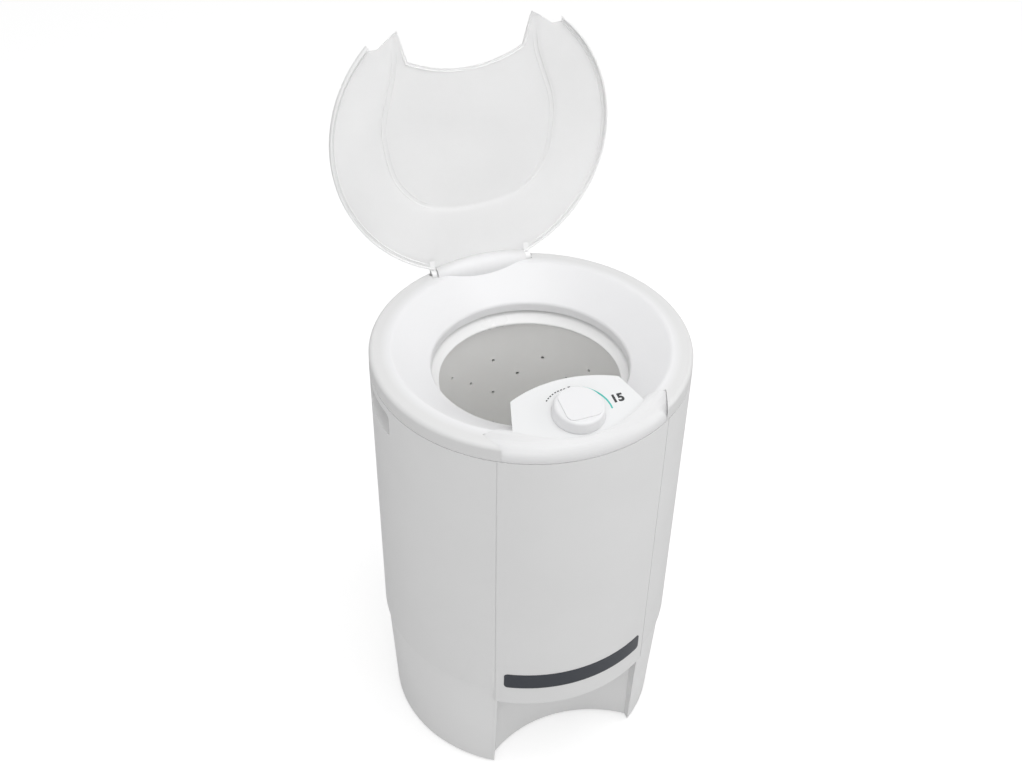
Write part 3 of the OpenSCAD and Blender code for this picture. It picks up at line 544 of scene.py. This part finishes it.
def plain_grid(outline, pitch=7, row=0.87, edge=4.5, fold=7.5, rim=16):
    """Staggered points, clear of the edge, the fold and the rim."""
    half = int(LID_R / pitch) + 1
    cells = [(i, j) for i in range(-half, half + 1) for j in range(-half, half + 1)]
    grid = [((i + 0.5 * (j % 2)) * pitch, j * pitch * row) for i, j in cells]
    return [p for p in grid if inside_outline(p, outline, edge) and abs(fold_distance(*p)) > fold
            and math.hypot(*p) < LID_R - rim]


def fold_rows(outline, rows=4, pitch=1.6, edge=2.5):
    """Staggered rows of points along the fold."""
    out = []
    last = len(FOLD_LINE) - 1
    for k in range(-rows, rows + 1):
        for i, p in enumerate(FOLD_LINE):
            run = (FOLD_LINE[min(i + 1, last)] - FOLD_LINE[max(i - 1, 0)]).normalized()
            q = p + Vector((-run.y, run.x)) * (k * pitch)
            if i % 2 == k % 2 and inside_outline(q, outline, edge):
                out.append(tuple(q))
    return out


def rim_rows(outline, insets=(2.6, 6, 10, 15), count=200, edge=2.2):
    """Staggered rows of points along the rim."""
    out = []
    for k, d in enumerate(insets):
        for i in range(count):
            a = 2 * math.pi * (i + 0.5 * (k % 2)) / count
            p = ((LID_R - d) * math.cos(a), (LID_R - d) * math.sin(a))
            if inside_outline(p, outline, edge):
                out.append(p)
    return out


def without_repeats(outline):
    """The closed outline without points that fall on the one before."""
    clean = []
    for p in outline:
        if not clean or (Vector(p) - Vector(clean[-1])).length > SAME_POINT:
            clean.append(p)
    if (Vector(clean[0]) - Vector(clean[-1])).length < SAME_POINT:
        clean.pop()
    return clean


def lid_shell():
    """Outer and inner face of the lid, with a wall between them all round."""
    outline = without_repeats(lid_outline())
    n = len(outline)
    inner = plain_grid(outline) + fold_rows(outline) + rim_rows(outline)
    points = [Vector(p) for p in outline + inner]
    edges = [(i, (i + 1) % n) for i in range(n)]
    flat, _, tris, _, _, _ = delaunay_2d_cdt(points, edges, [list(range(n))], 1, 1e-5)
    verts = [(p.x, p.y, lid_z(p.x, p.y)) for p in flat]
    count = len(verts)
    verts += [(x, y, z - LID_WALL) for x, y, z in verts]
    faces = [list(t) for t in tris] + [[i + count for i in reversed(t)] for t in tris]
    sides = dict.fromkeys((t[i], t[(i + 1) % len(t)]) for t in tris for i in range(len(t)))
    faces += [[b, a, a + count, b + count] for a, b in sides if (b, a) not in sides]
    return closed_mesh("lid_shell", verts, faces)


def open_turn():
    """From the closed lid to the rest pose, in millimetres."""
    return (Matrix.Translation(HINGE) @ Matrix.Rotation(math.radians(-LID_OPEN), 4, "X")
            @ Matrix.Translation(-HINGE))


def closed_mesh(name, verts, faces):
    """A mesh given for the closed lid and turned open, as the lid stands at rest."""
    turn = open_turn()
    return mesh_of(name, [turn @ Vector(v) for v in verts], faces)


def lid_rim():
    """Rim wall under the lid's edge, with a rounded foot."""
    a0, a1 = rim_angles()
    verts, faces = [], []
    for side in (1, -1):
        start = len(verts)
        for i in range(SKIRT_STEPS + 1):
            a = a0 + (a1 - a0) * i / SKIRT_STEPS
            c, s = math.cos(a), math.sin(a)
            top = lid_z(LID_R * c, LID_R * s) - 1.0
            section = [(LID_R - 0.02, top), (LID_R - 0.02, SKIRT_Z + 0.6), (LID_R - 0.5, SKIRT_Z),
                       (LID_R - 2.0, SKIRT_Z), (LID_R - 2.5, SKIRT_Z + 0.6), (LID_R - 2.6, top)]
            verts += [(side * r * c, r * s, z) for r, z in section]
        faces += strip(start, SKIRT_STEPS, len(section))
    return closed_mesh("lid_rim", verts, faces)


def strip(start, steps, m):
    """Faces of a closed section of m points carried over steps, with both ends capped."""
    faces = []
    for i in range(steps):
        for j in range(m):
            k = (j + 1) % m
            faces.append([start + i * m + j, start + i * m + k,
                          start + (i + 1) * m + k, start + (i + 1) * m + j])
    faces.append([start + j for j in range(m)])
    faces.append([start + steps * m + j for j in reversed(range(m))])
    return faces


def ear_outline():
    """Side view of an ear: a disc about the hinge with a cam lobe, as (y, z) from the hinge."""
    lobe = math.radians(LOBE_DEG)
    cam = (LOBE_H * math.sin(lobe), -LOBE_H * math.cos(lobe))
    out = []
    for i in range(EAR_STEPS):
        a = 2 * math.pi * i / EAR_STEPS
        reach = EAR_R + max(0.0, math.cos(a) * cam[0] + math.sin(a) * cam[1])
        out.append(Vector((reach * math.cos(a), reach * math.sin(a))))
    return out


def lid_ears():
    """Hinge ears with their cam lobes, each on a web under the lid."""
    outline = ear_outline()
    outer = EAR_X + EAR_W
    slices = ((EAR_X, EAR_BEVEL), (EAR_X + EAR_BEVEL, 0), (outer - EAR_BEVEL, 0), (outer, EAR_BEVEL))
    verts, faces = [], []
    for side in (1, -1):
        start = len(verts)
        for x, bevel in slices:
            for away in outline:
                k = 1 - bevel / away.length
                verts.append((side * x, HINGE.y + away.x * k, HINGE.z + away.y * k))
        faces += strip(start, len(slices) - 1, EAR_STEPS)
        start = len(verts)
        for y, low, high in EAR_WEB:
            verts += [(side * EAR_X, y, low), (side * outer, y, low),
                      (side * outer, y, high), (side * EAR_X, y, high)]
        faces += strip(start, len(EAR_WEB) - 1, 4)
    return closed_mesh("lid_ears", verts, faces)


def rib(path, half, height):
    """Low moulded rib along a path in the lid's plan, on its inner face."""
    section = ((-half, -RIB_ROOT), (-half * 0.6, height * 0.8), (0, height),
               (half * 0.6, height * 0.8), (half, -RIB_ROOT))
    verts = []
    last = len(path) - 1
    for i, p in enumerate(path):
        run = (path[min(i + 1, last)] - path[max(i - 1, 0)]).normalized()
        side = Vector((-run.y, run.x))
        fade = min(1.0, 0.15 + min(i, last - i) / 4)
        for across, down in section:
            q = p + side * across * fade
            verts.append((q.x, q.y, lid_z(q.x, q.y) - LID_WALL - down * fade))
    return verts, strip(0, last, len(section))


def inset(points, d):
    """A path moved sideways by d, to its left."""
    path = [Vector(p) for p in points]
    last = len(path) - 1
    out = []
    for i, p in enumerate(path):
        run = (path[min(i + 1, last)] - path[max(i - 1, 0)]).normalized()
        out.append(p + Vector((-run.y, run.x)) * d)
    return out


def lid_ribs():
    """Ribs just inside the rim and the notch, and a pair along each arm of the fold."""
    r = LID_R - RIM_RIB_IN
    a0 = math.asin((STEP_Y - 2) / r)
    a1 = math.acos((EAR_X + EAR_W + 2) / r)
    rim = [Vector(p) for p in arc_points(r, a0, a1, RIB_STEPS)]
    arm = [p for p in FOLD_LINE[:len(FOLD_LINE) // 2 + 1] if p.x > 60 and p.y > -140]
    edge = [Vector(p) for p in front_edge()]
    notch = [p for p in edge if p.x < NOTCH_TIP[0] - 8 and p.y > NOTCH_LOW]
    # Each path with its half width and its height
    ribs = [(rim, 1.0, 1.2), (arm, 1.0, 1.1), (inset(arm[2:], FOLD_RIB_IN), 0.7, 0.7),
            (inset(notch, -NOTCH_RIB_IN), 0.9, 1.1)]
    verts, faces = [], []
    for path, half, height in ribs:
        for side in (1, -1):
            v, f = rib([Vector((side * p.x, p.y)) for p in path], half, height)
            start = len(verts)
            verts += v
            faces += [[start + i for i in face] for face in f]
    return closed_mesh("lid_beads", verts, faces)


def make_lid():
    shell = piece("lid_shell", lid_shell(), "lid", "lid_clear", sharp=40)
    # Rim, ears and ribs take the lighter copy, a painted highlight on the lid's edge lines
    piece("lid_rim", lid_rim(), "lid", "lid_clear", "lid_edge_highlight", sharp=40)
    piece("lid_ears", lid_ears(), "lid", "lid_clear", "lid_edge_highlight", sharp=40)
    piece("lid_beads", lid_ribs(), "lid", "lid_clear", "lid_edge_highlight", sharp=60)
    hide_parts("lid")


# ---- dial: plain marks and a number printed on the fascia, in millimetres ----

FASCIA_TILT = 9
FASCIA_AT = Vector((0, -160, 650))
KNOB_DY = 2
INK = 0.12
INK_ROOT = -0.05
NUMBER_DEPTH = 0.06
NUMBER_Z = 0.04
NUMBER_WEIGHT = 0.045


def fascia_point(x, y, z):
    """Point on the tilted fascia, from the knob's axis."""
    t = math.radians(FASCIA_TILT)
    return FASCIA_AT + Vector((x, (y + KNOB_DY) * math.cos(t) - z * math.sin(t),
                               (y + KNOB_DY) * math.sin(t) + z * math.cos(t)))


def band(r0, r1, a0, a1, steps, taper=0.0):
    """Printed arc between two radii, by angles anticlockwise from +x.

    taper thins it towards its start.
    """
    verts, faces = [], []
    for i in range(steps + 1):
        share = i / steps
        a = math.radians(a0 + (a1 - a0) * share)
        half = (r1 - r0) / 2 * (1 - taper * (1 - share))
        mid = (r0 + r1) / 2
        for r in (mid - half, mid + half):
            for z in (INK_ROOT, INK):
                verts.append((r * math.cos(a), r * math.sin(a), z))
    order = [0, 1, 3, 2]
    for i in range(steps):
        for j in range(4):
            p, q = order[j], order[(j + 1) % 4]
            faces.append([4 * i + p, 4 * i + q, 4 * i + 4 + q, 4 * i + 4 + p])
    faces.append([0, 1, 3, 2])
    faces.append([4 * steps + k for k in (2, 3, 1, 0)])
    return verts, faces


def joined(name, parts):
    """One mesh of several printed marks."""
    verts, faces = [], []
    for v, f in parts:
        start = len(verts)
        verts += [fascia_point(*p) for p in v]
        faces += [[start + i for i in face] for face in f]
    return mesh_of(name, verts, faces)


def number(text, x, y, size):
    data = bpy.data.curves.new("dial_number_" + text, "FONT")
    data.body = text
    data.size = size * MM
    data.extrude = NUMBER_DEPTH * MM
    data.offset = NUMBER_WEIGHT * size * MM
    data.resolution_u = 4
    data.align_x = "CENTER"
    data.align_y = "CENTER"
    data.materials.append(MATERIALS["print_dark"])
    obj = bpy.data.objects.new("dial_number_" + text, data)
    bpy.context.scene.collection.objects.link(obj)
    obj.matrix_world = (Matrix.Translation(fascia_point(x, y, NUMBER_Z) * MM)
                        @ Matrix.Rotation(math.radians(FASCIA_TILT), 4, "X"))
    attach(obj, "cabinet_body")


def make_dial():
    dashes = [band(42.6, 44.2, a, a + 3.4, 3) for a in range(90, 138, 6)]
    dashes.append(band(42.8, 45.8, 81, 85, 3))
    piece("dial_dashes", joined("dial_dashes", dashes), "cabinet_body", "badge_dark", "print_dark")
    arc = band(43.2, 46, -6, 61, 30, taper=0.25)
    piece("dial_arc", joined("dial_arc", [arc]), "cabinet_body", "badge_dark", "print_teal")
    number("15", 57.5, 9, 17.5)


# ---- stage, in metres ----

FLOOR_HALF = 14
FLOOR_Z = -0.0005
FLOOR_ALBEDO = 0.6
FLOOR_LIFT = 0.5
WORLD_LIGHT = 0.72

# Each lamp's name, place, aim, side and watts
LAMPS = (
    ("key_top", (0.3, -0.5, 3.2), (0, 0, 0.6), 2.0, 24),
    ("fill_right", (2.6, -1.2, 1.6), (0, 0, 0.5), 1.6, 14),
    ("fill_front", (-1.2, -2.6, 2.6), (0, 0, 0.4), 1.8, 22),
)


def seen_by_camera(tree):
    """1 for rays from the camera, also through the lid, and 0 for those that only light the scene."""
    path = tree.nodes.new("ShaderNodeLightPath")
    either = tree.nodes.new("ShaderNodeMath")
    either.operation = "MAXIMUM"
    tree.links.new(path.outputs["Is Camera Ray"], either.inputs[0])
    tree.links.new(path.outputs["Is Transmission Ray"], either.inputs[1])
    return either.outputs[0]


def make_stage():
    """A matt white floor that keeps its shadow and is lifted to the white of the backdrop."""
    h = FLOOR_HALF
    mesh = bpy.data.meshes.new("floor")
    mesh.from_pydata([(-h, -h, 0), (h, -h, 0), (h, h, 0), (-h, h, 0)], [], [[0, 1, 2, 3]])
    floor = bpy.data.objects.new("floor", mesh)
    bpy.context.scene.collection.objects.link(floor)
    floor.location.z = FLOOR_Z
    mat = bpy.data.materials.new("floor")
    tree = fresh_tree(mat)
    out = tree.nodes.new("ShaderNodeOutputMaterial")
    diffuse = tree.nodes.new("ShaderNodeBsdfDiffuse")
    glow = tree.nodes.new("ShaderNodeEmission")
    add = tree.nodes.new("ShaderNodeAddShader")
    lift = tree.nodes.new("ShaderNodeMath")
    lift.operation = "MULTIPLY"
    lift.inputs[1].default_value = FLOOR_LIFT
    diffuse.inputs[0].default_value = (FLOOR_ALBEDO, FLOOR_ALBEDO, FLOOR_ALBEDO, 1)
    tree.links.new(seen_by_camera(tree), lift.inputs[0])
    tree.links.new(lift.outputs[0], glow.inputs["Strength"])
    tree.links.new(diffuse.outputs[0], add.inputs[0])
    tree.links.new(glow.outputs[0], add.inputs[1])
    tree.links.new(add.outputs[0], out.inputs[0])
    mesh.materials.append(mat)


def make_world():
    """Even white light, with a full white behind what the camera sees."""
    world = bpy.data.worlds.new("studio")
    bpy.context.scene.world = world
    tree = fresh_tree(world)
    out = tree.nodes.new("ShaderNodeOutputWorld")
    mix = tree.nodes.new("ShaderNodeMixShader")
    tree.links.new(seen_by_camera(tree), mix.inputs[0])
    for socket, strength in ((1, WORLD_LIGHT), (2, 1.0)):
        light = tree.nodes.new("ShaderNodeBackground")
        light.inputs["Strength"].default_value = strength
        light.inputs["Color"].default_value = (1, 1, 1, 1)
        tree.links.new(light.outputs[0], mix.inputs[socket])
    tree.links.new(mix.outputs[0], out.inputs[0])


def lamp(name, at, aim, size, watts):
    data = bpy.data.lights.new(name, "AREA")
    data.shape = "SQUARE"
    data.size = size
    data.energy = watts
    obj = bpy.data.objects.new(name, data)
    bpy.context.scene.collection.objects.link(obj)
    obj.location = at
    obj.rotation_mode = "QUATERNION"
    obj.rotation_quaternion = (Vector(aim) - Vector(at)).to_track_quat("-Z", "Y")


def make_lights():
    for row in LAMPS:
        lamp(*row)


make_camera()
dress_cad()
make_lid()
make_dial()
make_stage()
make_world()
make_lights()
bpy.context.scene.view_settings.view_transform = "Standard"
